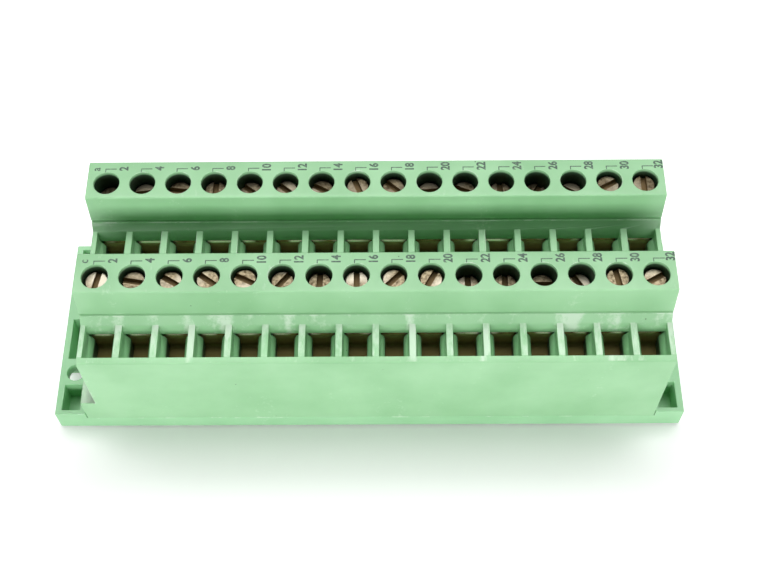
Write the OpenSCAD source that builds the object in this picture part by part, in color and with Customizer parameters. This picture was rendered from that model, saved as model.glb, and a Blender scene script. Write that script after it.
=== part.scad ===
// Two-row pluggable terminal block plug: a moulded terminal housing on a flanged contact base,
// with a screw clamp behind every wire window. Millimetres, +Z up, front face towards -Y.

/* [Poles] */
// Poles in each row
pole_count = 16; // [4:1:24]
// Distance between neighbouring poles
pitch = 5.08; // [5.0:0.01:5.6]
// Distance between the screw axes of the front and the back row
row_gap = 15.24; // [15.0:0.01:16.5]
// Offset of the pole rows from the middle of the flange
pole_shift = 1.27; // [0.9:0.01:1.4]

/* [Housing] */
// Overall height from the floor to the tower tops
total_h = 27.4; // [24:0.1:31]
// Rise of the towers above the ledges that the wire windows open in
tower_rise = 6.3; // [5.6:0.1:7.0]
// Front face of the housing to the front row of screws
front_gap = 10.2; // [10.0:0.05:10.8]
// Screw axis to the front face of its tower
tower_front = 2.6; // [2.5:0.05:2.75]
// Forward lean of the front face of a tower, top to foot
tower_lean = 0.5; // [0.3:0.05:0.6]
// Screw axis to the back face of its tower
tower_back = 3.67; // [3.5:0.01:4.2]
// Diameter of the screwdriver holes
hole_d = 3.65; // [3.6:0.01:3.9]
// Thickness of the ribs between neighbouring poles
rib_t = 0.95; // [0.85:0.01:1.05]
// Thickness of the end walls
end_wall = 0.72; // [0.6:0.01:1.2]
// Thickness of the front wall
apron_t = 1.05; // [0.9:0.01:1.15]
// Thickness of the back wall of a tower
back_wall = 0.87; // [0.7:0.01:1.0]
// Length of a wire window, front to back
window_l = 4.5; // [4.3:0.05:4.6]
// Width of the throat below a window
throat_w = 2.57; // [2.4:0.01:2.8]
// Rise of the sloping lip behind the windows
lip_rise = 1.3; // [1.0:0.05:1.5]
// Height of the step on the left end wall
skirt_h = 8.2; // [7:0.1:10]
// Reach of that step beyond the left end wall
skirt_out = 2.15; // [1.5:0.05:2.4]
// Height of the housing's lower edge, on the base plate
seat_h = 2.9; // [2.6:0.1:3.3]
// Small chamfer on the long outer edges
edge_c = 0.2; // [0.1:0.05:0.3]

/* [Base] */
// Thickness of the flange ends
flange_t = 4.35; // [4.0:0.05:5.0]
// Mounting-hole spacing beyond the length of a pole row
hole_margin = 12.0; // [11.8:0.1:13]
// Mounting-hole centre to the end of the flange
hole_edge = 2.3; // [2.2:0.05:3]
// Diameter of the mounting holes
mount_d = 2.6; // [2.4:0.05:2.8]
// Thickness of the flange at the mounting holes, over the relief below them
ear_t = 1.95; // [1.6:0.05:3]
// Front face to the mounting holes
mount_in = 6.86; // [6.7:0.02:7.0]
// Outer rim around the flange pockets
rim_t = 0.95; // [0.8:0.05:1.2]
// Width of the flange pockets
pocket_w = 2.7; // [2.4:0.05:2.75]
// Length of the pocket behind a mounting hole
pocket_mid = 6.7; // [5:0.1:8]
// Floor thickness under the flange pockets
pocket_floor = 0.4; // [0.35:0.05:1.5]
// Height of the contact block inside the housing
block_h = 9.0; // [8.6:0.1:9.4]
// Distance between the two rows of contact slots
contact_gap = 5.08; // [5.0:0.02:5.2]
// Depth of the groove around the mating face
groove_d = 2.0; // [1:0.1:2.2]

/* [Metal] */
// Thickness of the clamp strip
strip_t = 0.6; // [0.5:0.05:0.7]
// Thickness of the tapped end of a clamp
plate_t = 1.4; // [1.2:0.1:1.5]
// Width of a clamp
clamp_w = 3.8; // [3.4:0.05:3.85]
// Thickness of a pressure leaf
leaf_t = 0.5; // [0.4:0.05:0.55]
// Thread diameter of the clamping screws
screw_d = 2.5; // [2.3:0.05:2.6]
// Head diameter of the clamping screws
head_d = 3.4; // [3.2:0.02:3.46]
// Head height of the clamping screws
head_h = 1.5; // [1.2:0.05:1.8]
// Width of the screwdriver slot
slot_w = 0.85; // [0.6:0.05:1.0]
// Depth of the screwdriver slot
slot_d = 0.8; // [0.5:0.05:1.0]
// Width of a contact tine
tine_w = 2.2; // [1.8:0.05:2.3]

/* [Hidden] */
// How far each screw head sits below its tower top, first pole first
drop_a = [3.3, 2.6, 2.1, 2.1, 2.3, 2.1, 2.0, 1.4, 1.6, 2.6, 2.5, 2.7, 3.1, 2.9, 1.3, 1.2];
drop_c = [1.4, 1.5, 1.5, 1.2, 1.1, 1.7, 2.1, 1.7, 1.3, 1.3, 3.0, 2.8, 2.9, 2.8, 1.3, 1.5];
// Direction of each screw's slot seen from above, in degrees
turn_a = [20, 8, 172, 88, 142, 140, 150, 112, 138, 5, 155, 90, 60, 150, 30, 90];
turn_c = [80, 170, 148, 143, 153, 52, 88, 90, 46, 62, 90, 90, 0, 120, 100, 30];

// Running clearance of a screw in its thread, on the radius
thread_clear = 0.05;
// Clearance between metal and moulding
slack = 0.2;
// Depths below the ledge: lip, window shoulders and clamp strip
lip_drop = 1.9;
shoulder_drop = 1.7;
clamp_drop = 6.7;
// Depth of the screw holes in the tower tops
hole_depth = 5.1;
// Lip to the arm of a pressure leaf, and leaf to the tip of a screw turned home
leaf_drop = 0.7;
tip_gap = 0.4;
// Roof of a clamp room to the tapped end of its clamp
plate_gap = 0.3;
// Leaf to the window throat above it
throat_gap = 0.25;
// Dark crease at the foot of a tower
crease_w = 0.3;
crease_h = 0.18;
// Length of the lip's slope, front to back, and its rounding above the window's back edge
lip_run = 0.78;
nose_run = 0.12;
nose_low = 0.4;
nose_high = 1.1;
// Bar between the rear flange pockets, solid land in front of them, and the rim along front and back
bar_t = 1.0;
rear_land = 4.4;
pocket_rim = 0.72;
// Land around a mounting hole, more of it towards the back, and walls beside the relief below it
hole_land = 0.7;
back_land = 0.35;
relief_wall = 0.4;
// Rounding of a window shoulder, as steps across its width and up its height
shoulder_curve = [[0, 0.62], [0.15, 0.77], [0.5, 0.9], [1, 1]];
// Step of the throat in front of the window's back edge, and tower face to the screw room behind it
throat_step = 0.15;
room_step = 0.1;
// Upright of a clamp behind the front wall: side clearance in the throat, and drop below the lip
upright_clear = 0.15;
upright_drop = 0.4;
// Inner radius of the bends of a pressure leaf
leaf_r = 0.5;
// Mating face: end and side margins of its island, the groove around it and the blade entries
isle_inset = 1.15;
isle_rim = 1.86;
groove_w = 1.2;
entry_t = 0.8;
entry_w = 1.2;
// Depth to which the raised blocks of the base reach into its plate
root = 0.5;
// Overshoot of a cut beyond the face it opens in, and overlap where shapes of one piece join
over = 1.0;
lap = 0.1;
// Side clearance of the housing between the flange ends
seat_clear = 0.1;

ledge_h = total_h - tower_rise;
row_l = (pole_count - 1) * pitch;
cell_w = pitch - rib_t;
inner_l = row_l + cell_w;
body_l = inner_l + 2 * end_wall;
foot_left = pole_shift - body_l / 2 - skirt_out;
foot_right = pole_shift + body_l / 2;
depth = front_gap + row_gap + tower_back;
hole_span = row_l + hole_margin;
flange_l = hole_span + 2 * hole_edge;
y_front = -depth / 2;
y_c = y_front + front_gap;
y_a = y_c + row_gap;

// Section of one cell, measured from its screw axis
cell_front = -(front_gap - apron_t);
cell_back = tower_back - back_wall;
lip_y = cell_front + window_l;
throat_back = lip_y - throat_step;
screw_room = -tower_front + room_step;
lip_z = ledge_h - lip_drop;
shoulder_z = ledge_h - shoulder_drop;
cell_floor = block_h + slack;
clamp_z = ledge_h - clamp_drop;
leaf_z = clamp_z + strip_t;
throat_z = leaf_z + leaf_t + throat_gap;
roof_z = total_h - hole_depth;
plate_z = roof_z - plate_gap - plate_t;
foot_y = -tower_front - tower_lean;
crease_y = foot_y - crease_w;
lip_back = crease_y - lip_run;
leaf_top = lip_z - leaf_drop;
shank_l = total_h - max(concat(drop_a, drop_c)) - head_h - leaf_top - tip_gap;

// Contacts
tine_t = 0.45;
blade_gap = 0.7;
fork_clear = 0.15;
fork_y = blade_gap / 2 + tine_t;
slot_y = fork_y + fork_clear;
slot_x = tine_w + 2 * slack;
entry_x = (tine_w + slack) / 2;
contact_foot = 1.0;
fork_h = 7.4;
web_t = 0.6;
collar_w = 0.5;
collar_h = 1.0;

function row_y(row) = row == "a" ? y_a : y_c;
function contact_y(row) = row == "a" ? contact_gap / 2 : -contact_gap / 2;
function pole_x(i) = pole_shift - row_l / 2 + i * pitch;
function pole_label(i) = str(i < 4 ? "0" : "", 2 * (i + 1));
function screw_name(row, i) = str("screw_", row, pole_label(i));
function drop(row, i) = row == "a" ? drop_a[i % len(drop_a)] : drop_c[i % len(drop_c)];
function turn(row, i) = row == "a" ? turn_a[i % len(turn_a)] : turn_c[i % len(turn_c)];

// Extrudes a section drawn in Y and Z along X, centred on the plane X = 0
module along_x(len) {
    rotate([90, 0, 90])
        translate([0, 0, -len / 2])
            linear_extrude(len)
                children();
}

// Block between two corners
module block(lo, hi) {
    translate(lo)
        cube(hi - lo);
}

// Side view of the housing: apron, two wire ledges and two screw towers
module housing_section() {
    z0 = seat_h;
    polygon([
        [y_front, z0],
        [y_front, ledge_h - edge_c],
        [y_front + edge_c, ledge_h],
        [y_c + lip_back, ledge_h],
        [y_c + crease_y, ledge_h + lip_rise],
        [y_c + foot_y + crease_w / 2, ledge_h + lip_rise + crease_h],
        [y_c + foot_y - crease_w * 0.75, ledge_h + lip_rise + 2 * crease_h],
        [y_c - tower_front, total_h - edge_c],
        [y_c - tower_front + edge_c, total_h],
        [y_c + tower_back - edge_c, total_h],
        [y_c + tower_back, total_h - edge_c],
        [y_c + tower_back, ledge_h],
        [y_a + lip_back, ledge_h],
        [y_a + crease_y, ledge_h + lip_rise],
        [y_a + foot_y + crease_w / 2, ledge_h + lip_rise + crease_h],
        [y_a + foot_y - crease_w * 0.75, ledge_h + lip_rise + 2 * crease_h],
        [y_a - tower_front, total_h - edge_c],
        [y_a - tower_front + edge_c, total_h],
        [y_a + tower_back - edge_c, total_h],
        [y_a + tower_back, total_h - edge_c],
        [y_a + tower_back, z0]
    ]);
}

// Room for one clamp behind and below a wire window
module clamp_room() {
    along_x(cell_w)
        polygon([
            [cell_front, cell_floor - over],
            [cell_back, cell_floor - over],
            [cell_back, roof_z],
            [screw_room, roof_z],
            [screw_room, lip_z],
            [throat_back, lip_z],
            [throat_back, throat_z],
            [cell_front, throat_z]
        ]);
}

// Wire window with rounded shoulders that narrow it to the throat
module window() {
    w = cell_w / 2;
    t = throat_w / 2;
    s = w - t;
    h = shoulder_z - throat_z;
    side = [for (p = shoulder_curve) [t + p[0] * s, throat_z + p[1] * h]];
    translate([0, lip_y, 0])
        rotate([90, 0, 0])
            linear_extrude(window_l)
                polygon(concat(
                    [[-t, throat_z - lap], [t, throat_z - lap]],
                    side,
                    [[w, ledge_h + over], [-w, ledge_h + over]],
                    [for (k = [len(side) - 1 : -1 : 0]) [-side[k][0], side[k][1]]]
                ));
    along_x(cell_w)
        polygon([
            [lip_y - lap, lip_z + nose_low],
            [lip_y, lip_z + nose_low],
            [lip_y + nose_run, lip_z + nose_high],
            [lip_back, ledge_h],
            [lip_back, ledge_h + lap],
            [lip_y - lap, ledge_h + lap]
        ]);
}

// Moulded upper part with both rows of screw towers and wire windows
module terminal_housing() {
    color([0.56, 0.78, 0.56])
        difference() {
            union() {
                translate([pole_shift, 0, 0])
                    along_x(body_l)
                        housing_section();
                block([foot_left, y_front, seat_h], [0, -y_front, skirt_h]);
            }
            block(
                [pole_shift - inner_l / 2, y_front + apron_t, seat_h - over],
                [pole_shift + inner_l / 2, y_a + cell_back, cell_floor]
            );
            for (r = ["a", "c"])
                for (i = [0 : pole_count - 1])
                    translate([pole_x(i), row_y(r), 0]) {
                        clamp_room();
                        window();
                        translate([0, 0, roof_z - over])
                            cylinder(d = hole_d, h = hole_depth + 2 * over, $fn = 64);
                    }
        }
}

// Pockets and mounting hole of one flange end
module flange_cuts() {
    x1 = flange_l / 2 - rim_t;
    x0 = x1 - pocket_w;
    land = mount_d / 2 + hole_land;
    front = y_front + pocket_rim;
    mid = y_front + mount_in + land + back_land;
    rear = mid + pocket_mid + rear_land;
    rear_l = (-front - rear - bar_t) / 2;
    spans = [
        [front, y_front + mount_in - land],
        [mid, mid + pocket_mid],
        [rear, rear + rear_l],
        [rear + rear_l + bar_t, -front]
    ];
    for (p = spans)
        block([x0, p[0], pocket_floor], [x1, p[1], flange_t + over]);
    block(
        [x0, spans[0][1] + relief_wall, -over],
        [flange_l / 2 + over, mid - relief_wall, flange_t - ear_t]
    );
    translate([hole_span / 2, y_front + mount_in, -over])
        cylinder(d = mount_d, h = flange_t + 2 * over, $fn = 64);
}

// Flanged lower part with the contact block and its slotted mating face
module contact_base() {
    isle_x = foot_right - isle_inset;
    isle_y = contact_gap / 2 + isle_rim;
    color([0.53, 0.76, 0.53])
        difference() {
            union() {
                block([-flange_l / 2, y_front, 0], [flange_l / 2, -y_front, seat_h]);
                for (s = [-1, 1])
                    block(
                        [s > 0 ? foot_right + seat_clear : -flange_l / 2, y_front, seat_h - root],
                        [s > 0 ? flange_l / 2 : foot_left - seat_clear, -y_front, flange_t]
                    );
                block(
                    [pole_shift - inner_l / 2 + slack, -isle_y, seat_h - root],
                    [pole_shift + inner_l / 2 - slack, isle_y, block_h]
                );
            }
            for (s = [0, 1])
                mirror([s, 0, 0])
                    flange_cuts();
            difference() {
                block(
                    [-isle_x - groove_w, -isle_y - groove_w, -over],
                    [isle_x + groove_w, isle_y + groove_w, groove_d]
                );
                block([-isle_x, -isle_y, -2 * over], [isle_x, isle_y, groove_d + over]);
            }
            for (r = ["a", "c"])
                for (i = [0 : pole_count - 1])
                    translate([pole_x(i), contact_y(r), 0]) {
                        block([-slot_x / 2, -slot_y, entry_t], [slot_x / 2, slot_y, block_h + over]);
                        block([-entry_x, -entry_w / 2, -over], [entry_x, entry_w / 2, entry_t + lap]);
                    }
        }
}

// Bent strip clamps of one row, each with a tapped end over its rear leg
module clamp_frames(row) {
    upright_x = throat_w / 2 - upright_clear;
    color([0.45, 0.38, 0.28])
        for (i = [0 : pole_count - 1])
            translate([pole_x(i), row_y(row), 0])
                difference() {
                    union() {
                        along_x(clamp_w)
                            polygon([
                                [cell_front + slack, clamp_z],
                                [cell_back - slack, clamp_z],
                                [cell_back - slack, plate_z + plate_t],
                                [screw_room + slack, plate_z + plate_t],
                                [screw_room + slack, plate_z],
                                [cell_back - slack - strip_t, plate_z],
                                [cell_back - slack - strip_t, leaf_z],
                                [cell_front + slack, leaf_z]
                            ]);
                        block(
                            [-upright_x, cell_front + slack, clamp_z],
                            [upright_x, cell_front + slack + strip_t, lip_z - upright_drop]
                        );
                    }
                    translate([0, 0, plate_z - over / 2])
                        cylinder(r = screw_d / 2 + thread_clear, h = plate_t + over, $fn = 48);
                }
}

// Quarter of a ring for a bent strip
module quarter_bend(r_in, r_out, angle) {
    rotate(angle)
        intersection() {
            difference() {
                circle(r = r_out, $fn = 48);
                circle(r = r_in, $fn = 48);
            }
            square(r_out + over);
        }
}

// Side view of a pressure leaf: foot on the clamp, upright and arm under the screw
module leaf_section() {
    face = lip_y + slack / 2;
    foot_end = cell_front + strip_t + 1.5 * slack;
    arm_end = cell_back - strip_t - 2 * slack;
    low = leaf_z + leaf_t + leaf_r;
    high = leaf_top - leaf_t - leaf_r;
    translate([foot_end, leaf_z])
        square([face - leaf_r - foot_end, leaf_t]);
    translate([face - leaf_r, low])
        quarter_bend(leaf_r, leaf_r + leaf_t, -90);
    translate([face, low])
        square([leaf_t, high - low]);
    translate([face + leaf_t + leaf_r, high])
        quarter_bend(leaf_r, leaf_r + leaf_t, 90);
    translate([face + leaf_t + leaf_r, high + leaf_r])
        square([arm_end - face - leaf_t - leaf_r, leaf_t]);
}

// Pressure leaves of one row, one in every clamp
module pressure_leaves(row) {
    color([0.36, 0.29, 0.2])
        for (i = [0 : pole_count - 1])
            translate([pole_x(i), row_y(row), 0])
                along_x(clamp_w - slack)
                    leaf_section();
}

// Side view of a contact fork with its stem
module fork_section() {
    polygon([
        [-fork_y, contact_foot],
        [-blade_gap / 2, contact_foot],
        [-blade_gap / 2, fork_h],
        [blade_gap / 2, fork_h],
        [blade_gap / 2, contact_foot],
        [fork_y, contact_foot],
        [fork_y, fork_h + web_t],
        [strip_t / 2, fork_h + web_t],
        [strip_t / 2, clamp_z],
        [-strip_t / 2, clamp_z],
        [-strip_t / 2, fork_h + web_t],
        [-fork_y, fork_h + web_t]
    ]);
}

// Contacts of one row: forks in the base, stems up to the clamps
module contacts(row) {
    color([0.72, 0.64, 0.45])
        for (i = [0 : pole_count - 1])
            translate([pole_x(i), contact_y(row), 0]) {
                along_x(tine_w)
                    fork_section();
                block(
                    [-slot_x / 2 - collar_w, -strip_t / 2, block_h],
                    [slot_x / 2 + collar_w, strip_t / 2, block_h + collar_h]
                );
            }
}

// Slotted clamping screw of one pole
module terminal_screw(row, i) {
    top = total_h - drop(row, i);
    color([0.78, 0.76, 0.7])
        translate([pole_x(i), row_y(row), 0])
            rotate(turn(row, i))
                difference() {
                    union() {
                        translate([0, 0, top - head_h])
                            cylinder(d = head_d, h = head_h, $fn = 64);
                        translate([0, 0, top - head_h - shank_l])
                            cylinder(d = screw_d, h = shank_l + lap, $fn = 48);
                    }
                    block([-head_d, -slot_w / 2, top - slot_d], [head_d, slot_w / 2, top + over]);
                }
}

terminal_housing();
contact_base();
clamp_frames("a");  // clamp_frames_a
clamp_frames("c");  // clamp_frames_c
pressure_leaves("a");  // pressure_leaves_a
pressure_leaves("c");  // pressure_leaves_c
contacts("a");  // contacts_a
contacts("c");  // contacts_c
for (r = ["a", "c"])
    for (i = [0 : pole_count - 1])
        terminal_screw(r, i);
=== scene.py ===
import math
import bmesh
import bpy
from mathutils import Matrix, Vector


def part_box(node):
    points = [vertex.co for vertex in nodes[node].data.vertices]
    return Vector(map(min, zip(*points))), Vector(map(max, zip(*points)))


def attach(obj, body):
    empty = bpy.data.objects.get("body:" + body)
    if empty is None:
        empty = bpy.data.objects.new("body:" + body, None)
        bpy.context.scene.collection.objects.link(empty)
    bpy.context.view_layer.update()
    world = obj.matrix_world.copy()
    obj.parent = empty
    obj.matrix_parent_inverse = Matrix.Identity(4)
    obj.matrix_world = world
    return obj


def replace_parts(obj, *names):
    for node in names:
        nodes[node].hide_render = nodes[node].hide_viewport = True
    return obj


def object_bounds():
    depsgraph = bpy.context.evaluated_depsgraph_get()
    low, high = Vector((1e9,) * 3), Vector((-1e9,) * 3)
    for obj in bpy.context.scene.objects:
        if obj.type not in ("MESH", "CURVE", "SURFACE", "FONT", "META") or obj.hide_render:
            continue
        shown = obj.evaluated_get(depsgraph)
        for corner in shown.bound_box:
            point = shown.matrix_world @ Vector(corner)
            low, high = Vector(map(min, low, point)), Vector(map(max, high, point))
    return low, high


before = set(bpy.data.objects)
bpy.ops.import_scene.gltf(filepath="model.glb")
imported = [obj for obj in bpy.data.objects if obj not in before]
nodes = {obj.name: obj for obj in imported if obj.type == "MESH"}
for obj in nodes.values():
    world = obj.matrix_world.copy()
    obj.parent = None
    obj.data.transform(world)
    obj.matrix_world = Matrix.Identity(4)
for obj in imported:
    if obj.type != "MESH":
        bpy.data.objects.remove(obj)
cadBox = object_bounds()
mm = 0.001
print("frame loaded:", len(nodes), "nodes")


def linear(hexText):  # sRGB hex to linear RGBA
    parts = [int(hexText[i:i + 2], 16) / 255 for i in (1, 3, 5)]
    return [c / 12.92 if c <= 0.04045 else ((c + 0.055) / 1.055) ** 2.4 for c in parts] + [1.0]


def addNode(tree, kind, props=None, inputs=None):  # a node with its settings, values and links
    node = tree.nodes.new(kind)
    for key, value in (props or {}).items():
        setattr(node, key, value)
    for key, value in (inputs or {}).items():
        if isinstance(value, bpy.types.NodeSocket):
            tree.links.new(value, node.inputs[key])
        else:
            node.inputs[key].default_value = value
    return node


def newMaterial(name):  # material with an empty tree, plus its millimetre coordinates
    material = bpy.data.materials.new(name)
    material.use_nodes = True
    tree = material.node_tree
    tree.nodes.clear()
    coords = addNode(tree, "ShaderNodeTexCoord")
    inMm = addNode(tree, "ShaderNodeMapping", None,
                   {"Vector": coords.outputs["Object"], "Scale": (1 / mm, 1 / mm, 1 / mm)})
    return material, tree, inMm.outputs[0]


def finishMaterial(tree, shader):
    addNode(tree, "ShaderNodeOutputMaterial", None, {"Surface": shader.outputs[0]})


def meshPiece(name, mesh, material, body):
    piece = bpy.data.objects.new(name, mesh)
    bpy.context.scene.collection.objects.link(piece)
    mesh.materials.clear()
    mesh.materials.append(material)
    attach(piece, body)
    return piece


# Moulded polyamide, spark-eroded tool finish: a soft satin sheen, slightly uneven green,
# chalky scuffs where it has been rubbed, painted sheen and highlights on marked faces, a few dark specks,
# and painted shade down its openings and on the back lip
plasticLook = {
    "fresh": "#A2D5A4",
    "aged": "#92C894",
    "blotchMm": 11.0,
    "blotchRange": (0.35, 0.68),
    "scuffAndSheen": "#DDF1DC",
    "scuffMm": 0.7,
    "scuffStretch": (1.0, 0.35, 1.0),
    "scuffSheenRange": (1.08, 1.4),
    "scuffSheenMost": 0.7,
    "patchMm": 3.4,
    "patchStretch": (1.0, 0.25, 0.25),
    "patchSwing": (3.0, -1.4),
    "patchShare": 0.8,
    "patchLeast": 0.2,
    "speck": "#3A4A34",
    "speckMm": 2.6,
    "speckDot": (0.020, 0.045),
    "speckRare": 0.72,
    "paintedShade": "#16311C",
    "shadeRunMm": 0.4,
    "shadeMost": 0.93,
    "grainMm": 0.16,
    "grainBump": 0.12,
    "grainDeepMm": 0.02,
    "roughness": 0.42,
    "roughSwing": (-0.06, 0.16),
    "roughRange": (0.7, 1.5),
    "ior": 1.53,
    "depthGlow": 0.12,
    "depthGlowMm": 0.6,
}


def mouldedPlastic(name, look):
    material, tree, place = newMaterial(name)
    blotch = addNode(tree, "ShaderNodeTexNoise", None,
                     {"Vector": place, "Scale": 1 / look["blotchMm"], "Detail": 3.0, "Roughness": 0.55})
    blotchMask = addNode(tree, "ShaderNodeMapRange", None,
                         {"Value": blotch.outputs[0], "From Min": look["blotchRange"][0],
                          "From Max": look["blotchRange"][1]})
    base = addNode(tree, "ShaderNodeMix", {"data_type": "RGBA"},
                   {0: blotchMask.outputs[0], 6: linear(look["fresh"]), 7: linear(look["aged"])})
    # scuffs and painted sheen: fine streaks, gathered in patches where the mesh is marked; the marks are
    # edge wear and scuffs, painted sheen on the front lip and painted highlights along edges
    along = addNode(tree, "ShaderNodeMapping", None, {"Vector": place, "Scale": look["scuffStretch"]})
    streak = addNode(tree, "ShaderNodeTexNoise", None,
                     {"Vector": along.outputs[0], "Scale": 1 / look["scuffMm"], "Detail": 5.0,
                      "Roughness": 0.7})
    across = addNode(tree, "ShaderNodeMapping", None, {"Vector": place, "Scale": look["patchStretch"]})
    patch = addNode(tree, "ShaderNodeTexNoise", None,
                    {"Vector": across.outputs[0], "Scale": 1 / look["patchMm"], "Detail": 2.0})
    markedFaces = addNode(tree, "ShaderNodeAttribute", {"attribute_name": "wearAndSheen"})
    swing = addNode(tree, "ShaderNodeMath", {"operation": "MULTIPLY_ADD"},
                    {0: patch.outputs[0], 1: look["patchSwing"][0], 2: look["patchSwing"][1]})
    patchy = addNode(tree, "ShaderNodeMath", {"operation": "MAXIMUM"},
                     {0: swing.outputs[0], 1: look["patchLeast"]})
    markedStreak = addNode(tree, "ShaderNodeMath", {"operation": "MULTIPLY_ADD"},
                         {0: markedFaces.outputs["Fac"], 1: patchy.outputs[0], 2: streak.outputs[0]})
    gathered = addNode(tree, "ShaderNodeMath", {"operation": "MULTIPLY_ADD"},
                       {0: patch.outputs[0], 1: look["patchShare"], 2: markedStreak.outputs[0]})
    scuffSheenMask = addNode(tree, "ShaderNodeMapRange", None,
                        {"Value": gathered.outputs[0], "From Min": look["scuffSheenRange"][0],
                         "From Max": look["scuffSheenRange"][1], "To Max": look["scuffSheenMost"]})
    withScuffSheen = addNode(tree, "ShaderNodeMix", {"data_type": "RGBA"},
                      {0: scuffSheenMask.outputs[0], 6: base.outputs[2], 7: linear(look["scuffAndSheen"])})
    # specks: small dark inclusions, a few in each square centimetre
    cells = addNode(tree, "ShaderNodeTexVoronoi", None, {"Vector": place, "Scale": 1 / look["speckMm"]})
    dot = addNode(tree, "ShaderNodeMapRange", None,
                  {"Value": cells.outputs["Distance"], "From Min": look["speckDot"][0],
                   "From Max": look["speckDot"][1], "To Min": 1.0, "To Max": 0.0})
    chosen = addNode(tree, "ShaderNodeSeparateColor", None, {0: cells.outputs["Color"]})
    rare = addNode(tree, "ShaderNodeMath", {"operation": "GREATER_THAN"},
                   {0: chosen.outputs[0], 1: look["speckRare"]})
    speckMask = addNode(tree, "ShaderNodeMath", {"operation": "MULTIPLY"},
                        {0: dot.outputs[0], 1: rare.outputs[0]})
    specked = addNode(tree, "ShaderNodeMix", {"data_type": "RGBA"},
                      {0: speckMask.outputs[0], 6: withScuffSheen.outputs[2], 7: linear(look["speck"])})
    # painted shade: darker below the height kept in the mesh, or an even painted shade where the mesh has
    # one
    height = addNode(tree, "ShaderNodeSeparateXYZ", None, {0: place})
    darkFrom = addNode(tree, "ShaderNodeAttribute", {"attribute_name": "shadeFrom"})
    below = addNode(tree, "ShaderNodeMath", {"operation": "SUBTRACT"},
                    {0: darkFrom.outputs["Fac"], 1: height.outputs[2]})
    deep = addNode(tree, "ShaderNodeMapRange", None,
                   {"Value": below.outputs[0], "From Max": look["shadeRunMm"], "To Max": look["shadeMost"]})
    film = addNode(tree, "ShaderNodeAttribute", {"attribute_name": "evenShade"})
    shadeMask = addNode(tree, "ShaderNodeMath", {"operation": "MAXIMUM"},
                        {0: deep.outputs[0], 1: film.outputs["Fac"]})
    shaded = addNode(tree, "ShaderNodeMix", {"data_type": "RGBA"},
                     {0: shadeMask.outputs[0], 6: specked.outputs[2], 7: linear(look["paintedShade"])})
    rough = addNode(tree, "ShaderNodeMapRange", None,
                    {"Value": gathered.outputs[0], "From Min": look["roughRange"][0],
                     "From Max": look["roughRange"][1],
                     "To Min": look["roughness"] + look["roughSwing"][0],
                     "To Max": look["roughness"] + look["roughSwing"][1]})
    grain = addNode(tree, "ShaderNodeTexNoise", None,
                    {"Vector": place, "Scale": 1 / look["grainMm"], "Detail": 2.0, "Roughness": 0.6})
    bump = addNode(tree, "ShaderNodeBump", None,
                   {"Strength": look["grainBump"], "Distance": look["grainDeepMm"] * mm,
                    "Height": grain.outputs[0]})
    shader = addNode(tree, "ShaderNodeBsdfPrincipled", None,
                     {"Base Color": shaded.outputs[2], "Roughness": rough.outputs[0], "IOR": look["ior"],
                      "Normal": bump.outputs[0], "Subsurface Weight": look["depthGlow"],
                      "Subsurface Scale": look["depthGlowMm"] * mm, "Subsurface Radius": (0.7, 1.0, 0.6)})
    finishMaterial(tree, shader)
    return material


# What all the metals share: cloudy colour, some lots brighter, drawing scratches, and a dull
# brown cover of tarnish or dirt that hides the metal's shine; on the leaves that cover is painted light and
# shade instead
metalWear = {
    "cloudRange": (0.36, 0.66),
    "lotRange": (0.48, 0.62),
    "scratchRange": (0.25, 0.75),
    "scratchBump": 0.2,
    "scratchDeepMm": 0.02,
    "roughSwing": (-0.1, 0.14),
    "coveredMetallic": 0.25,
    "coveredRough": 0.3,
    "coveredSheen": 0.12,
}


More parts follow.
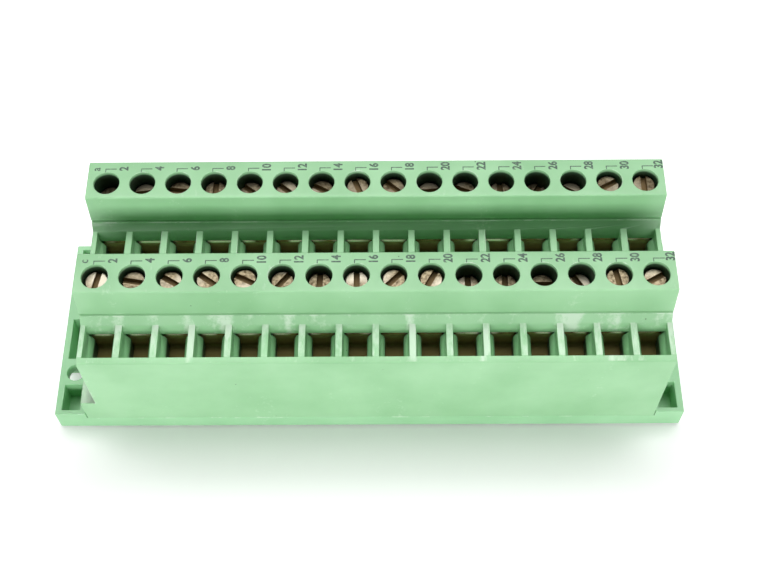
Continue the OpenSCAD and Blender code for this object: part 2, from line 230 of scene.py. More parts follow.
def workedMetal(name, look):
    material, tree, place = newMaterial(name)
    cloud = addNode(tree, "ShaderNodeTexNoise", None,
                    {"Vector": place, "Scale": 1 / look["cloudMm"], "Detail": 4.0, "Roughness": 0.6})
    cloudMask = addNode(tree, "ShaderNodeMapRange", None,
                        {"Value": cloud.outputs[0], "From Min": metalWear["cloudRange"][0],
                         "From Max": metalWear["cloudRange"][1]})
    tint = addNode(tree, "ShaderNodeMix", {"data_type": "RGBA"},
                   {0: cloudMask.outputs[0], 6: linear(look["bright"]), 7: linear(look["dull"])})
    lot = addNode(tree, "ShaderNodeTexNoise", None,
                  {"Vector": place, "Scale": 1 / look["lotMm"], "Detail": 1.0})
    lotMask = addNode(tree, "ShaderNodeMapRange", None,
                      {"Value": lot.outputs[0], "From Min": metalWear["lotRange"][0],
                       "From Max": metalWear["lotRange"][1]})
    metal = addNode(tree, "ShaderNodeMix", {"data_type": "RGBA"},
                    {0: lotMask.outputs[0], 6: tint.outputs[2], 7: linear(look["lot"])})
    drawn = addNode(tree, "ShaderNodeMapping", None, {"Vector": place, "Scale": look["drawScale"]})
    scratch = addNode(tree, "ShaderNodeTexNoise", None,
                      {"Vector": drawn.outputs[0], "Scale": 1 / look["scratchMm"], "Detail": 3.0,
                       "Roughness": 0.65})
    rough = addNode(tree, "ShaderNodeMapRange", None,
                    {"Value": scratch.outputs[0], "From Min": metalWear["scratchRange"][0],
                     "From Max": metalWear["scratchRange"][1],
                     "To Min": look["roughness"] + metalWear["roughSwing"][0],
                     "To Max": look["roughness"] + metalWear["roughSwing"][1]})
    bump = addNode(tree, "ShaderNodeBump", None,
                   {"Strength": metalWear["scratchBump"], "Distance": metalWear["scratchDeepMm"] * mm,
                    "Height": scratch.outputs[0]})
    # tarnish away from the height that stays bright, another tint low down, dirt in marked slots; on the
    # leaves the bright height is a painted highlight, the tint away from it painted light, the tint low down
    # painted shade
    height = addNode(tree, "ShaderNodeSeparateXYZ", None, {0: place})
    offset = addNode(tree, "ShaderNodeMath", {"operation": "SUBTRACT"},
                     {0: height.outputs[2], 1: look["brightAtMm"]})
    away = addNode(tree, "ShaderNodeMath", {"operation": "ABSOLUTE"}, {0: offset.outputs[0]})
    tarnishAndLight = addNode(tree, "ShaderNodeMapRange", None,
                      {"Value": away.outputs[0], "From Min": look["brightRunMm"][0],
                       "From Max": look["brightRunMm"][1]})
    low = addNode(tree, "ShaderNodeMapRange", None,
                  {"Value": height.outputs[2], "From Min": look["deepRunMm"][0],
                   "From Max": look["deepRunMm"][1], "To Min": 1.0, "To Max": 0.0})
    awayTint = addNode(tree, "ShaderNodeMix", {"data_type": "RGBA"},
                          {0: low.outputs[0], 6: linear(look["tarnishAndLight"]), 7: linear(look["deep"])})
    aged = addNode(tree, "ShaderNodeMix", {"data_type": "RGBA"},
                   {0: tarnishAndLight.outputs[0], 6: metal.outputs[2], 7: awayTint.outputs[2]})
    slot = addNode(tree, "ShaderNodeAttribute", {"attribute_name": "slotDirt"})
    dirty = addNode(tree, "ShaderNodeMix", {"data_type": "RGBA"},
                    {0: slot.outputs["Fac"], 6: aged.outputs[2], 7: linear(look["dirt"])})
    covered = addNode(tree, "ShaderNodeMath", {"operation": "MAXIMUM"},
                      {0: slot.outputs["Fac"], 1: tarnishAndLight.outputs[0]})
    metallic = addNode(tree, "ShaderNodeMapRange", None,
                       {"Value": covered.outputs[0], "To Min": 1.0, "To Max": metalWear["coveredMetallic"]})
    dulled = addNode(tree, "ShaderNodeMath", {"operation": "MULTIPLY_ADD"},
                     {0: covered.outputs[0], 1: metalWear["coveredRough"], 2: rough.outputs[0]})
    shader = addNode(tree, "ShaderNodeBsdfPrincipled", None,
                     {"Base Color": dirty.outputs[2], "Metallic": metallic.outputs[0],
                      "Roughness": dulled.outputs[0], "Specular IOR Level": metalWear["coveredSheen"],
                      "Normal": bump.outputs[0]})
    finishMaterial(tree, shader)
    return material


# Nickel-plated brass of the screws: warm grey, clouded, a few heads almost white
screwLook = {"bright": "#9C8F76", "dull": "#4C412F", "cloudMm": 0.45, "lot": "#B4AC9B", "lotMm": 5.5,
             "drawScale": (1, 1, 1), "scratchMm": 0.12, "roughness": 0.42,
             "tarnishAndLight": "#5A4B36", "brightAtMm": 27.0, "brightRunMm": (3.5, 8.0), "dirt": "#8A7452",
             "deep": "#4A3C2A", "deepRunMm": (17.0, 21.0)}
# The back row's screws: the same plating, painted darker and browner as the shade of the back row
shadedScrewLook = dict(screwLook, bright="#746955", dull="#3A3124", lot="#8C8372")
# Bronze strip of the clamps: dark and brown all over
clampLook = {"bright": "#4A3D28", "dull": "#332818", "cloudMm": 1.6, "lot": "#4A3D28", "lotMm": 6.0,
             "drawScale": (1, 6, 6), "scratchMm": 0.2, "roughness": 0.45,
             "tarnishAndLight": "#4C3D25", "brightAtMm": 20.0, "brightRunMm": (0.5, 4.0), "dirt": "#3A2E20",
             "deep": "#43351F", "deepRunMm": (12.0, 14.0)}
# Spring bronze of the leaves: bare metal only along the bend as a painted highlight line, some lots near
# white as painted glints; a pale tan elsewhere as painted light, darker olive below as painted shade
leafLook = {"bright": "#8A7448", "dull": "#5E4C30", "cloudMm": 1.3, "lot": "#FFF4DC", "lotMm": 4.5,
            "drawScale": (0.2, 3, 3), "scratchMm": 0.25, "roughness": 0.26,
            "tarnishAndLight": "#C8AE7C", "brightAtMm": 18.32, "brightRunMm": (0.12, 0.24), "dirt": "#40321F",
            "deep": "#78703C", "deepRunMm": (15.2, 16.6)}
# Gold-flashed bronze of the contacts: clean and yellow, inside the base
contactLook = {"bright": "#D8BE7C", "dull": "#A98C50", "cloudMm": 1.5, "lot": "#D8BE7C", "lotMm": 6.0,
               "drawScale": (3, 3, 0.5), "scratchMm": 0.2, "roughness": 0.28,
               "tarnishAndLight": "#A98C50", "brightAtMm": 5.0, "brightRunMm": (9.0, 12.0), "dirt": "#6B5433",
               "deep": "#A98C50", "deepRunMm": (0.0, 1.0)}
# Pad-printed ink: flat grey-green, thin and rubbed through in places
inkLook = {"ink": "#4C6455", "patchy": "#8AB08E", "rubMm": 0.55, "rubRange": (0.48, 0.74), "rubMost": 0.7,
           "roughness": 0.55}


def printedInk(name, look):
    material, tree, place = newMaterial(name)
    rub = addNode(tree, "ShaderNodeTexNoise", None,
                  {"Vector": place, "Scale": 1 / look["rubMm"], "Detail": 4.0, "Roughness": 0.7})
    rubMask = addNode(tree, "ShaderNodeMapRange", None,
                      {"Value": rub.outputs[0], "From Min": look["rubRange"][0],
                       "From Max": look["rubRange"][1], "To Max": look["rubMost"]})
    colour = addNode(tree, "ShaderNodeMix", {"data_type": "RGBA"},
                     {0: rubMask.outputs[0], 6: linear(look["ink"]), 7: linear(look["patchy"])})
    shader = addNode(tree, "ShaderNodeBsdfPrincipled", None,
                     {"Base Color": colour.outputs[2], "Roughness": look["roughness"]})
    finishMaterial(tree, shader)
    return material


greenHousing = mouldedPlastic("polyamide_green_moulded", plasticLook)
greenBase = mouldedPlastic("polyamide_green_base", dict(plasticLook, fresh="#A6DCAB", aged="#97D09C"))
screwMetal = workedMetal("nickel_plated_brass_turned", screwLook)
shadedScrewMetal = workedMetal("nickel_plated_brass_shaded", shadedScrewLook)
clampMetal = workedMetal("bronze_strip_dark_brown", clampLook)
leafMetal = workedMetal("spring_bronze_rolled", leafLook)
contactMetal = workedMetal("gold_flashed_bronze", contactLook)
printInk = printedInk("pad_print_ink", inkLook)
print("materials made")


def poleNumber(i):  # the poles carry even numbers
    return 2 * (i + 1)


def screwName(row, i):
    return f"screw_{row}{poleNumber(i):02d}"


# Pole centres, read from the screws of the frame
poleCount = sum(name.startswith("screw_a") for name in nodes)
poleCentres = {}
for row in "ac":
    for i in range(poleCount):
        low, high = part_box(screwName(row, i))
        poleCentres[row, i] = (low + high) / 2
pitchMm = (poleCentres["c", 1].x - poleCentres["c", 0].x) / mm
towerTop = cadBox[1].z

# Where the housing is painted pale, as wear and as painted sheen and highlights, and where it is painted
# dark as shade. Places with a sign are measured in Y from a row's pole centres, heights in Z from the
# flange's face
housingMarks = {
    "holeMm": 1.83,
    "holeDarkMm": 0.3,
    "cellHalfMm": 2.07,
    "cellFromMm": -9.2,
    "cellToMm": -4.6,
    "cellTopMm": 0.1,
    "ribCutMm": 0.1,
    "throatDarkMm": 2.8,
    "ledgeMm": 21.1,
    "ledgeFromMm": -10.3,
    "ledgeScuffSheen": 0.55,
    "ribScuffSheen": 1.8,
    "lipMm": 1.3,
    "lipSlope": (0.3, 0.8),
    "lipTopMm": -3.4,
    "lipEdgeMm": 0.08,
    "lipEdgeHighlight": 1.2,
    "lipSheen": 0.7,
    "lipShade": 0.27,
    "noseMm": (-4.75, -4.1),
    "noseDeepMm": 1.7,
    "noseSlope": -0.3,
    "stepMm": 8.2,
    "stepWhiteningAndLight": 1.6,
    "flatFrom": 0.9,
    "levelMm": 0.05,
    "cutMm": 0.0001,
}
faceMarks = ("wearAndSheen", "shadeFrom", "evenShade")


def markHousing(bm):
    look = housingMarks
    wearSheen, paintedShade, film = (bm.faces.layers.float[key] for key in faceMarks)
    ledge = look["ledgeMm"]
    lipRun = look["lipTopMm"] - look["lipEdgeMm"]

    def flatAt(face, heightMm):
        fromLevel = abs(face.calc_center_median().z / mm - heightMm)
        return face.normal.z > look["flatFrom"] and fromLevel < look["levelMm"]

    def onLedge(face):
        return flatAt(face, ledge)

    def onLip(face):
        rise = face.calc_center_median().z / mm - ledge
        return look["lipSlope"][0] < face.normal.z < look["lipSlope"][1] and 0 < rise < look["lipMm"]

    # the ledge is cut where the ribs begin and each lip near its upper edge, so that the pale marks of wear
    # and painted sheen can stop there
    ribCut = look["cellFromMm"] + look["ribCutMm"]
    for onFace, row, dy in ((onLedge, "c", ribCut), (onLip, "a", lipRun), (onLip, "c", lipRun)):
        faces = [f for f in bm.faces if onFace(f)]
        parts = dict.fromkeys(part for f in faces for part in (f, *f.edges, *f.verts))
        bmesh.ops.bisect_plane(bm, geom=list(parts), dist=look["cutMm"] * mm, plane_no=(0, 1, 0),
                               plane_co=(0, poleCentres[row, 0].y + dy * mm, 0))
    for face in bm.faces:
        at = face.calc_center_median() / mm
        # stress whitening on the left foot's step, also painted light that lifts the step's shade
        if flatAt(face, look["stepMm"]):  # stress whitening on the left foot's step
            face[wearSheen] = look["stepWhiteningAndLight"]
        for row in "ac":
            first = poleCentres[row, 0] / mm
            dx = (at.x - first.x + pitchMm / 2) % pitchMm - pitchMm / 2
            dy = at.y - first.y
            inCell = abs(dx) < look["cellHalfMm"] and look["cellFromMm"] < dy < look["cellToMm"]
            nearNose = look["noseMm"][0] < dy < look["noseMm"][1]
            onNose = nearNose and 0 < ledge - at.z < look["noseDeepMm"]
            overLedge = look["ledgeFromMm"] < dy < 0
            # painted shade: screw-hole walls darken below the tower top, cell throats below the ledge
            if math.hypot(dx, dy) < look["holeMm"] and at.z > ledge:
                face[paintedShade] = towerTop / mm - look["holeDarkMm"]
            elif inCell and at.z < ledge - look["cellTopMm"] and not onNose:
                face[paintedShade] = ledge - look["throatDarkMm"]
            # painted highlight along the upper edge of each lip
            elif onLip(face) and lipRun < dy < look["lipTopMm"]:
                face[wearSheen] = look["lipEdgeHighlight"]
            # painted shade as an even film on the back row's lip, painted sheen on the front row's lip
            elif overLedge and (onLip(face) or (onNose and face.normal.y < look["noseSlope"])):
                if row == "a":
                    face[film] = look["lipShade"]
                else:
                    face[wearSheen] = look["lipSheen"]
            # front rib tops and ledge: scuffs, also painted sheen
            elif row == "c" and overLedge and onLedge(face):
                behind = face.calc_center_bounds().y / mm - first.y > look["cellFromMm"]
                face[wearSheen] = look["ribScuffSheen" if behind else "ledgeScuffSheen"]


# Housing and base: the CAD moulding with its sharp edges broken as a mould leaves them
edgeBreak = {"radiusMm": 0.1, "segments": 2, "fromDeg": 55, "wearSheen": 0.6,
             "mergeMm": 0.002, "flatDeg": 0.5, "sliverMm": 0.001, "sharpDeg": 40}


def brokenEdges(nodeName, pieceName, material, mark=None):
    bm = bmesh.new()
    bm.from_mesh(nodes[nodeName].data)
    bmesh.ops.remove_doubles(bm, verts=bm.verts, dist=edgeBreak["mergeMm"] * mm)
    bmesh.ops.dissolve_limit(bm, angle_limit=math.radians(edgeBreak["flatDeg"]), verts=bm.verts,
                             edges=bm.edges, use_dissolve_boundaries=False)
    for key in faceMarks:
        bm.faces.layers.float.new(key)
    wearSheen = bm.faces.layers.float["wearAndSheen"]
    sharp = [e for e in bm.edges if e.is_convex and len(e.link_faces) == 2
             and e.calc_face_angle(0) > math.radians(edgeBreak["fromDeg"])]
    made = bmesh.ops.bevel(bm, geom=sharp, offset=edgeBreak["radiusMm"] * mm, offset_type="OFFSET",
                           segments=edgeBreak["segments"], profile=0.5, affect="EDGES",
                           clamp_overlap=False)
    # the broken edges are marked pale: edge wear, also a painted highlight along them
    for face in made["faces"]:
        face[wearSheen] = edgeBreak["wearSheen"]
    if mark:
        mark(bm)
    bmesh.ops.dissolve_degenerate(bm, edges=bm.edges, dist=edgeBreak["sliverMm"] * mm)
    for face in bm.faces:
        face.smooth = True
    mesh = bpy.data.meshes.new(pieceName)
    bm.to_mesh(mesh)
    bm.free()
    mesh.set_sharp_from_angle(angle=math.radians(edgeBreak["sharpDeg"]))
    piece = meshPiece(pieceName, mesh, material, "plug")
    piece.modifiers.new("weighted", "WEIGHTED_NORMAL").keep_sharp = True
    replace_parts(piece, nodeName)
    print(pieceName, len(sharp), "edges broken,", len(mesh.polygons), "faces")


brokenEdges("terminal_housing", "housing_shell", greenHousing, markHousing)
brokenEdges("contact_base", "base_shell", greenBase)

# Clamps, leaves and contacts stay as the CAD has them
stripMetals = {"clamp_frames": clampMetal, "pressure_leaves": leafMetal, "contacts": contactMetal}
for name, node in nodes.items():
    for prefix, metal in stripMetals.items():
        if name.startswith(prefix):
            node.material_slots[0].material = metal


def newTree(name, sockets):  # an empty tree, its inputs' identifiers and the sockets to take them from
    tree = bpy.data.node_groups.new(name, "GeometryNodeTree")
    tree.interface.new_socket("Geometry", in_out="OUTPUT", socket_type="NodeSocketGeometry")
    keys = {}
    for label, kind in sockets:
        socket = tree.interface.new_socket(label, in_out="INPUT", socket_type="NodeSocket" + kind)
        keys[label] = socket.identifier
    return tree, keys, addNode(tree, "NodeGroupInput").outputs


def endTree(tree, shape, material):  # instances made real, then dressed
    real = addNode(tree, "GeometryNodeRealizeInstances", None, {"Geometry": shape})
    dressed = addNode(tree, "GeometryNodeSetMaterial", None,
                      {"Geometry": real.outputs[0], "Material": material})
    addNode(tree, "NodeGroupOutput", None, {0: dressed.outputs[0]})


def combined(tree, kind, props, socket, parts):  # several shapes taken in on one socket
    node = addNode(tree, kind, props)
    for part in parts:
        tree.links.new(part, node.inputs[socket])
    return node.outputs[0]


def moved(tree, shape, shift):  # a shape shifted by up to three sizes, given by axis
    by = addNode(tree, "ShaderNodeCombineXYZ", None, shift)
    placed = addNode(tree, "GeometryNodeTransform", None,
                     {"Geometry": shape, "Translation": by.outputs[0]})
    return placed.outputs[0]


# Clamping screws: turned head with a broken edge, sawn slot and a rolled thread
screwShape = {
    "headMm": 3.4,
    "headHighMm": 1.5,
    "headSides": 64,
    "edgeMm": 0.25,
    "slotMm": 0.85,
    "slotDeepMm": 0.8,
    "slotSpareMm": 0.01,
    "threadMm": 2.5,
    "rootMm": 2.05,
    "shankSides": 32,
    "threadPitchMm": 0.45,
    "stepsPerTurn": 28,
    "ridgeSides": 4,
    "ridgeOut": 0.25,
    "ridgeRadius": 0.75,
    "weldMm": 0.006,
    "sharpDeg": 30,
    "turnA": [20, 8, 172, 88, 142, 140, 150, 112, 138, 5, 155, 90, 60, 150, 30, 90],
    "turnC": [80, 170, 148, 143, 153, 52, 88, 90, 46, 62, 90, 90, 0, 120, 100, 30],
}
screwSockets = (
    ("Head Diameter", "Float"), ("Head Height", "Float"), ("Edge", "Float"), ("Slot Width", "Float"),
    ("Slot Depth", "Float"), ("Thread Diameter", "Float"), ("Root Diameter", "Float"),
    ("Shank Length", "Float"), ("Thread Pitch", "Float"), ("Seat", "Vector"), ("Turn", "Float"),
)


def screwTree(material):
    tree, keys, given = newTree("clampScrew", screwSockets)

    def work(operation, a, b):  # arithmetic between two sizes
        return addNode(tree, "ShaderNodeMath", {"operation": operation}, {0: a, 1: b}).outputs[0]

    # head: a drum, its upper edge taken off by a wide cone, then the slot sawn across
    headRadius = work("MULTIPLY", given["Head Diameter"], 0.5)
    drum = addNode(tree, "GeometryNodeMeshCone", {"fill_type": "NGON"},
                   {"Vertices": screwShape["headSides"], "Radius Top": headRadius,
                    "Radius Bottom": headRadius, "Depth": given["Head Height"]})
    edgeTwice = work("MULTIPLY", given["Edge"], 2.0)
    flank = addNode(tree, "GeometryNodeMeshCone", {"fill_type": "NGON"},
                    {"Vertices": screwShape["headSides"],
                     "Radius Top": work("SUBTRACT", headRadius, edgeTwice),
                     "Radius Bottom": work("ADD", headRadius, given["Head Height"]),
                     "Depth": work("ADD", given["Head Height"], edgeTwice)})
    flankPlaced = moved(tree, flank.outputs[0], {2: work("MULTIPLY", given["Edge"], -1.0)})
    turned = combined(tree, "GeometryNodeMeshBoolean", {"operation": "INTERSECT", "solver": "EXACT"},
                      "Mesh 2", (drum.outputs[0], flankPlaced))
    slotSize = addNode(tree, "ShaderNodeCombineXYZ", None,
                       {0: work("MULTIPLY", given["Head Diameter"], 2.0), 1: given["Slot Width"],
                        2: work("MULTIPLY", given["Slot Depth"], 2.0)})
    saw = addNode(tree, "GeometryNodeMeshCube", None, {"Size": slotSize.outputs[0]})
    sawPlaced = moved(tree, saw.outputs[0], {2: given["Head Height"]})
    head = addNode(tree, "GeometryNodeMeshBoolean", {"operation": "DIFFERENCE", "solver": "EXACT"},
                   {"Mesh 1": turned})
    tree.links.new(sawPlaced, head.inputs["Mesh 2"])
    # shank: a plain core let into the head, with a helical ridge
    rootRadius = work("MULTIPLY", given["Root Diameter"], 0.5)
    core = addNode(tree, "GeometryNodeMeshCone", {"fill_type": "NGON"},
                   {"Vertices": screwShape["shankSides"], "Radius Top": rootRadius,
                    "Radius Bottom": rootRadius, "Depth": work("ADD", given["Shank Length"], given["Edge"])})
    crest = work("SUBTRACT", work("MULTIPLY", given["Thread Diameter"], 0.5), rootRadius)
    ridgeRadius = work("ADD", rootRadius, work("MULTIPLY", crest, screwShape["ridgeOut"]))
    run = work("SUBTRACT", given["Shank Length"], given["Thread Pitch"])
    helix = addNode(tree, "GeometryNodeCurveSpiral", None,
                    {"Resolution": screwShape["stepsPerTurn"],
                     "Rotations": work("DIVIDE", run, given["Thread Pitch"]),
                     "Start Radius": ridgeRadius, "End Radius": ridgeRadius, "Height": run})
    section = addNode(tree, "GeometryNodeCurvePrimitiveCircle", {"mode": "RADIUS"},
                      {"Resolution": screwShape["ridgeSides"],
                       "Radius": work("MULTIPLY", crest, screwShape["ridgeRadius"])})
    ridge = addNode(tree, "GeometryNodeCurveToMesh", None,
                    {"Curve": helix.outputs[0], "Profile Curve": section.outputs[0], "Fill Caps": True})
    shankDown = work("MULTIPLY", given["Shank Length"], -1.0)
    ridgeUp = moved(tree, ridge.outputs[0], {2: work("MULTIPLY", given["Thread Pitch"], 0.5)})
    ridgePlaced = moved(tree, ridgeUp, {2: shankDown})
    corePlaced = moved(tree, core.outputs[0], {2: shankDown})
    blank = combined(tree, "GeometryNodeMeshBoolean", {"operation": "UNION", "solver": "EXACT"},
                     "Mesh 2", (head.outputs[0], corePlaced))
    whole = combined(tree, "GeometryNodeJoinGeometry", None, 0, (blank, ridgePlaced))
    angle = addNode(tree, "ShaderNodeCombineXYZ", None, {2: given["Turn"]})
    seated = addNode(tree, "GeometryNodeTransform", None,
                     {"Geometry": whole, "Translation": given["Seat"], "Rotation": angle.outputs[0]})
    endTree(tree, seated.outputs[0], material)
    return tree, keys


def cleanMesh(bm, mesh, weldMm):  # welds what a boolean or an outline leaves double
    bmesh.ops.remove_doubles(bm, verts=bm.verts, dist=weldMm * mm)
    bmesh.ops.dissolve_degenerate(bm, edges=bm.edges, dist=weldMm * mm)
    bmesh.ops.recalc_face_normals(bm, faces=bm.faces)
    bm.to_mesh(mesh)
    bm.free()
    return mesh


def plainMesh(tree, keys, values, name):  # evaluates a tree once and keeps its result as a mesh
    maker = bpy.data.objects.new(name + "_maker", bpy.data.meshes.new(name + "_maker"))
    bpy.context.scene.collection.objects.link(maker)
    modifier = maker.modifiers.new("maker", "NODES")
    modifier.node_group = tree
    for label, value in values.items():
        modifier[keys[label]] = value
    mesh = bpy.data.meshes.new_from_object(maker.evaluated_get(bpy.context.evaluated_depsgraph_get()))
    mesh.name = name
    bpy.data.objects.remove(maker)
    bm = bmesh.new()
    bm.from_mesh(mesh)
    return cleanMesh(bm, mesh, screwShape["weldMm"])


def markSlot(mesh, headTop, turn):  # dirt on the faces inside the slot
    spare = screwShape["slotSpareMm"]
    slotDirt = mesh.attributes.new("slotDirt", "FLOAT", "FACE")
    back = Matrix.Rotation(-turn, 3, "Z")
    for face in mesh.polygons:
        spot = back @ (face.center - headTop) / mm
        across = abs(spot.y) < screwShape["slotMm"] / 2 + spare
        down = -screwShape["slotDeepMm"] - spare < spot.z < -spare
        slotDirt.data[face.index].value = float(across and down)


screwRows = (("a", screwShape["turnA"], shadedScrewMetal), ("c", screwShape["turnC"], screwMetal))
for row, turns, metal in screwRows:
    screwGroup, screwKeys = screwTree(metal)
    for i, turnDeg in enumerate(turns):
        name = screwName(row, i)
        low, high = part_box(name)
        centre = poleCentres[row, i]
        turn = math.radians(turnDeg)
        headHigh = screwShape["headHighMm"] * mm
        values = {
            "Head Diameter": screwShape["headMm"] * mm, "Head Height": headHigh,
            "Edge": screwShape["edgeMm"] * mm, "Slot Width": screwShape["slotMm"] * mm,
            "Slot Depth": screwShape["slotDeepMm"] * mm, "Thread Diameter": screwShape["threadMm"] * mm,
            "Root Diameter": screwShape["rootMm"] * mm, "Thread Pitch": screwShape["threadPitchMm"] * mm,
            "Shank Length": high.z - low.z - headHigh,
            "Seat": (centre.x, centre.y, high.z - headHigh), "Turn": turn,
        }
        mesh = plainMesh(screwGroup, screwKeys, values, name + "_turned")
        markSlot(mesh, Vector((centre.x, centre.y, high.z)), turn)
        mesh.shade_smooth()
        mesh.set_sharp_from_angle(angle=math.radians(screwShape["sharpDeg"]))
        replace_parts(meshPiece(name + "_turned", mesh, metal, name), name)
print("screws turned:", len(poleCentres))


# Printing on the tower tops: row letters, pole numbers and the pointer line from each hole
printing = {
    "capMm": 1.18,
    "capPerSize": 0.69,
    "condensed": 0.8,
    "curveSteps": 4,
    "boldMm": 0.06,
    "letterBoldMm": 0.02,
    "numberAtMm": (2.25, 2.44),
    "lastNumberAtMm": (1.98, 2.55),
    "secondDigitMm": 0.13,
    "letterAtMm": (-1.5, 2.36),
    "stemFromMm": 1.86,
    "lineAtMm": 2.32,
    "lineFromMm": -0.37,
    "lineLongMm": 1.6,
    "lineWideMm": 0.13,
    "creepMm": 0.005,
    "filmMm": 0.012,
    "weldMm": 0.0005,
}


def textMesh(words, turned, at, boldMm):
    curve = bpy.data.curves.new("printing", "FONT")
    curve.body = words
    curve.size = printing["capMm"] / printing["capPerSize"] * mm
    curve.align_x = "CENTER"
    curve.align_y = "CENTER"
    curve.extrude = printing["filmMm"] / 2 * mm
    curve.offset = boldMm * mm
    curve.resolution_u = printing["curveSteps"]
    holder = bpy.data.objects.new("printing", curve)
    bpy.context.scene.collection.objects.link(holder)
    mesh = bpy.data.meshes.new_from_object(holder.evaluated_get(bpy.context.evaluated_depsgraph_get()))
    bpy.data.objects.remove(holder)
    corners = [v.co for v in mesh.vertices]
    middle = Vector([(min(c[k] for c in corners) + max(c[k] for c in corners)) / 2 for k in range(3)])
    narrow = Matrix.Diagonal((printing["condensed"], 1, 1, 1))
    turnedFlat = Matrix.Rotation(turned, 4, "Z") @ narrow
    mesh.transform(Matrix.Translation(at) @ turnedFlat @ Matrix.Translation(-middle))
    return mesh


def joinedMesh(name, meshes):
    bm = bmesh.new()
    for mesh in meshes:
        bm.from_mesh(mesh)
        bpy.data.meshes.remove(mesh)
    return cleanMesh(bm, bpy.data.meshes.new(name), printing["weldMm"])


filmZ = towerTop + printing["filmMm"] / 2 * mm
words = []
for (row, i), centre in poleCentres.items():
    spot = printing["lastNumberAtMm" if i == poleCount - 1 else "numberAtMm"]
    labels = [(str(poleNumber(i)), spot)]
    if i == 0:
        labels.append((row, printing["letterAtMm"]))
    for text, (dx, dy) in labels:
        x = centre.x + (dx + i * printing["creepMm"]) * mm
        dy += printing["secondDigitMm"] * (len(text) - 1)
        weight = printing["letterBoldMm" if text == row else "boldMm"]
        words.append(textMesh(text, math.pi / 2, (x, centre.y + dy * mm, filmZ), weight))
meshPiece("pole_numbers", joinedMesh("pole_numbers", words), printInk, "plug")

pointerSockets = (
    ("Poles", "Int"), ("Pitch", "Float"), ("Row Gap", "Float"), ("First Pole", "Vector"),
    ("Stem Size", "Vector"), ("Stem At", "Vector"), ("Line Size", "Vector"), ("Line At", "Vector"),
)


def pointerTree(material):
    tree, keys, given = newTree("polePointers", pointerSockets)
    bars = []
    for size, at in (("Stem Size", "Stem At"), ("Line Size", "Line At")):
        bar = addNode(tree, "GeometryNodeMeshCube", None, {"Size": given[size]})
        placed = addNode(tree, "GeometryNodeTransform", None,
                         {"Geometry": bar.outputs[0], "Translation": given[at]})
        bars.append(placed.outputs[0])
    mark = combined(tree, "GeometryNodeMeshBoolean", {"operation": "UNION", "solver": "EXACT"},
                    "Mesh 2", bars)
    step = addNode(tree, "ShaderNodeCombineXYZ", None, {0: given["Pitch"]})
    frontRow = addNode(tree, "GeometryNodeMeshLine", {"mode": "OFFSET"},
                       {"Count": given["Poles"], "Start Location": given["First Pole"],
                        "Offset": step.outputs[0]})
    backRow = moved(tree, frontRow.outputs[0], {1: given["Row Gap"]})
    both = combined(tree, "GeometryNodeJoinGeometry", None, 0, (frontRow.outputs[0], backRow))
    many = addNode(tree, "GeometryNodeInstanceOnPoints", None, {"Points": both, "Instance": mark})
    endTree(tree, many.outputs[0], material)
    return tree, keys


pointerGroup, pointerKeys = pointerTree(printInk)
first, second, behind = poleCentres["c", 0], poleCentres["c", 1], poleCentres["a", 0]
wide, film = printing["lineWideMm"] * mm, printing["filmMm"] * mm
lineLong, lineFrom = printing["lineLongMm"] * mm, printing["lineFromMm"] * mm
lineAt, stemFrom = printing["lineAtMm"] * mm, printing["stemFromMm"] * mm
stemLong = lineAt - stemFrom + wide / 2
pointers = plainMesh(pointerGroup, pointerKeys, {
    "Poles": poleCount, "Pitch": second.x - first.x + printing["creepMm"] * mm,
    "Row Gap": behind.y - first.y, "First Pole": (first.x, first.y, filmZ),
    "Stem Size": (wide, stemLong, film), "Stem At": (lineFrom + wide / 2, stemFrom + stemLong / 2, 0),
    "Line Size": (lineLong, wide, film), "Line At": (lineFrom + lineLong / 2, lineAt + wide / 2, 0),
}, "pole_pointers")
meshPiece("pole_pointers", pointers, printInk, "plug")
print("printing done")


# Stage: matt white floor that is lifted to white away from the shadow, in white surroundings
stageLook = {"floor": "#F6F6F6", "reach": 3.0, "floorDown": 0.0003, "ambient": 0.03, "mirrored": 0.3,
             "glowNear": 0.10, "glowFar": 0.45, "glowMore": 0.6, "farRun": (0.3, 0.8),
             "shadowAtMm": (0, -30), "shadowHalfMm": (50, 26), "shadowEdge": (0.8, 1.35)}

floorMesh = bpy.data.meshes.new("floor")
reach = stageLook["reach"]
floorCorners = [(-reach, -reach, 0), (reach, -reach, 0), (reach, reach, 0), (-reach, reach, 0)]
floorMesh.from_pydata(floorCorners, [], [(0, 1, 2, 3)])
floor = bpy.data.objects.new("floor", floorMesh)
bpy.context.scene.collection.objects.link(floor)
floor.location.z = -stageLook["floorDown"]
floorMaterial = bpy.data.materials.new("paper_white_matt")
floorMaterial.use_nodes = True
tree = floorMaterial.node_tree
tree.nodes.clear()
path = addNode(tree, "ShaderNodeLightPath").outputs
seen = addNode(tree, "ShaderNodeMath", {"operation": "MAXIMUM"},
               {0: path["Is Camera Ray"], 1: path["Is Glossy Ray"]})
seenToo = addNode(tree, "ShaderNodeMath", {"operation": "MAXIMUM"},
                  {0: seen.outputs[0], 1: path["Is Transmission Ray"]})
coords = addNode(tree, "ShaderNodeTexCoord")
inPatch = addNode(tree, "ShaderNodeVectorMath", {"operation": "SUBTRACT"},
                  {0: coords.outputs["Object"], 1: [c * mm for c in stageLook["shadowAtMm"]] + [0]})
halves = addNode(tree, "ShaderNodeVectorMath", {"operation": "DIVIDE"},
                 {0: inPatch.outputs[0], 1: [c * mm for c in stageLook["shadowHalfMm"]] + [1]})
fromPatch = addNode(tree, "ShaderNodeVectorMath", {"operation": "LENGTH"}, {0: halves.outputs[0]})
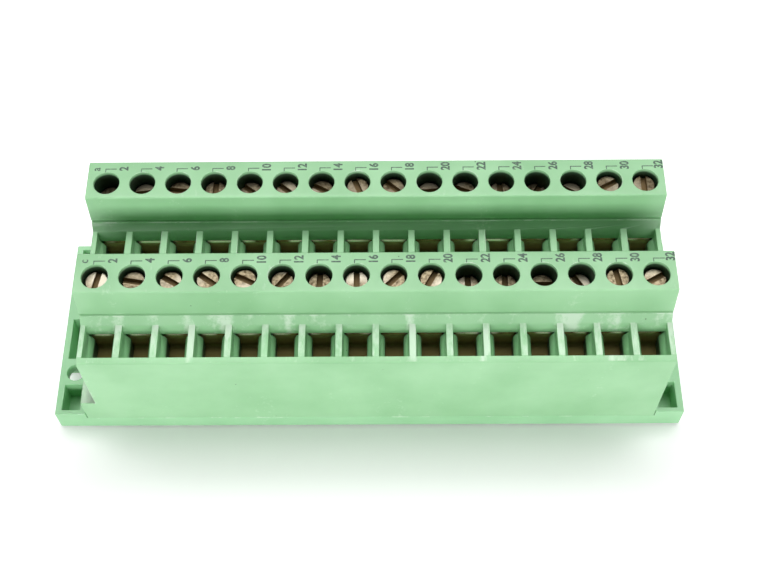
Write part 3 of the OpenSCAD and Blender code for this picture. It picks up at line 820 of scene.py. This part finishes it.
glowRange = addNode(tree, "ShaderNodeMapRange", {"interpolation_type": "SMOOTHSTEP"},
                    {"Value": fromPatch.outputs["Value"], "From Min": stageLook["shadowEdge"][0],
                     "From Max": stageLook["shadowEdge"][1], "To Min": stageLook["glowNear"],
                     "To Max": stageLook["glowFar"]})
fromMiddle = addNode(tree, "ShaderNodeVectorMath", {"operation": "LENGTH"}, {0: coords.outputs["Object"]})
farGlow = addNode(tree, "ShaderNodeMapRange", None,
                  {"Value": fromMiddle.outputs["Value"], "From Min": stageLook["farRun"][0],
                   "From Max": stageLook["farRun"][1], "To Max": stageLook["glowMore"]})
allGlow = addNode(tree, "ShaderNodeMath", {"operation": "ADD"},
                  {0: glowRange.outputs[0], 1: farGlow.outputs[0]})
lift = addNode(tree, "ShaderNodeMath", {"operation": "MULTIPLY"},
               {0: seenToo.outputs[0], 1: allGlow.outputs[0]})
paper = addNode(tree, "ShaderNodeBsdfDiffuse", None, {"Color": linear(stageLook["floor"])})
glow = addNode(tree, "ShaderNodeEmission", None, {"Color": (1, 1, 1, 1), "Strength": lift.outputs[0]})
finishMaterial(tree, addNode(tree, "ShaderNodeAddShader", None, {0: paper.outputs[0], 1: glow.outputs[0]}))
floorMesh.materials.append(floorMaterial)

world = bpy.data.worlds.new("whiteRoom")
bpy.context.scene.world = world
world.use_nodes = True
tree = world.node_tree
tree.nodes.clear()
path = addNode(tree, "ShaderNodeLightPath").outputs
seen = addNode(tree, "ShaderNodeMath", {"operation": "MAXIMUM"},
               {0: path["Is Camera Ray"], 1: path["Is Transmission Ray"]})
dim = addNode(tree, "ShaderNodeMapRange", None,
              {"Value": path["Is Glossy Ray"], "To Min": stageLook["ambient"],
               "To Max": stageLook["mirrored"]})
strength = addNode(tree, "ShaderNodeMath", {"operation": "MAXIMUM"}, {0: seen.outputs[0], 1: dim.outputs[0]})
sky = addNode(tree, "ShaderNodeBackground", None, {"Color": (1, 1, 1, 1), "Strength": strength.outputs[0]})
addNode(tree, "ShaderNodeOutputWorld", None, {"Surface": sky.outputs[0]})

# Soft boxes: two above and behind, one low in front; place and size in metres, power in watts
lamps = [
    ("overheadBack", (0.0, 0.30, 0.57), (1.0, 0.22), 1.3),
    ("overheadTop", (0.0, 0.17, 0.62), (1.2, 0.30), 3.7),
    ("frontLow", (0.0, -0.60, 0.21), (0.9, 0.17), 3.7),
]
for name, at, size, power in lamps:
    lamp = bpy.data.lights.new(name, "AREA")
    lamp.shape = "RECTANGLE"
    lamp.size, lamp.size_y = size
    lamp.energy = power
    lampObject = bpy.data.objects.new(name, lamp)
    bpy.context.scene.collection.objects.link(lampObject)
    lampObject.location = at
    lampObject.rotation_euler = (-Vector(at)).to_track_quat("-Z", "Y").to_euler()

# Camera at the photograph's place, pointing down at the front
cameraSet = {"atMm": (3.837, -89.438, 174.598), "pitchDeg": 60.573, "yawDeg": 0.944, "rollDeg": -1.130,
             "lensMm": 58.873, "sensorMm": 36, "clipFrom": 0.01}
pitch, yaw, roll = (math.radians(cameraSet[k]) for k in ("pitchDeg", "yawDeg", "rollDeg"))
heading = Matrix.Rotation(yaw, 3, "Z")
ahead = heading @ Vector((0, math.cos(pitch), -math.sin(pitch)))
up = heading @ Vector((0, math.sin(pitch), math.cos(pitch)))
right = heading @ Vector((1, 0, 0))
right, up = right * math.cos(roll) + up * math.sin(roll), up * math.cos(roll) - right * math.sin(roll)
camera = bpy.data.objects.new("camera", bpy.data.cameras.new("camera"))
bpy.context.scene.collection.objects.link(camera)
camera.data.sensor_width = cameraSet["sensorMm"]
camera.data.lens = cameraSet["lensMm"]
camera.data.clip_start = cameraSet["clipFrom"]
aim = Matrix((right, up, -ahead)).transposed().to_4x4()
camera.matrix_world = Matrix.Translation(Vector(cameraSet["atMm"]) * mm) @ aim
bpy.context.scene.camera = camera
bpy.context.scene.view_settings.view_transform = "Standard"
print("stage and camera set")
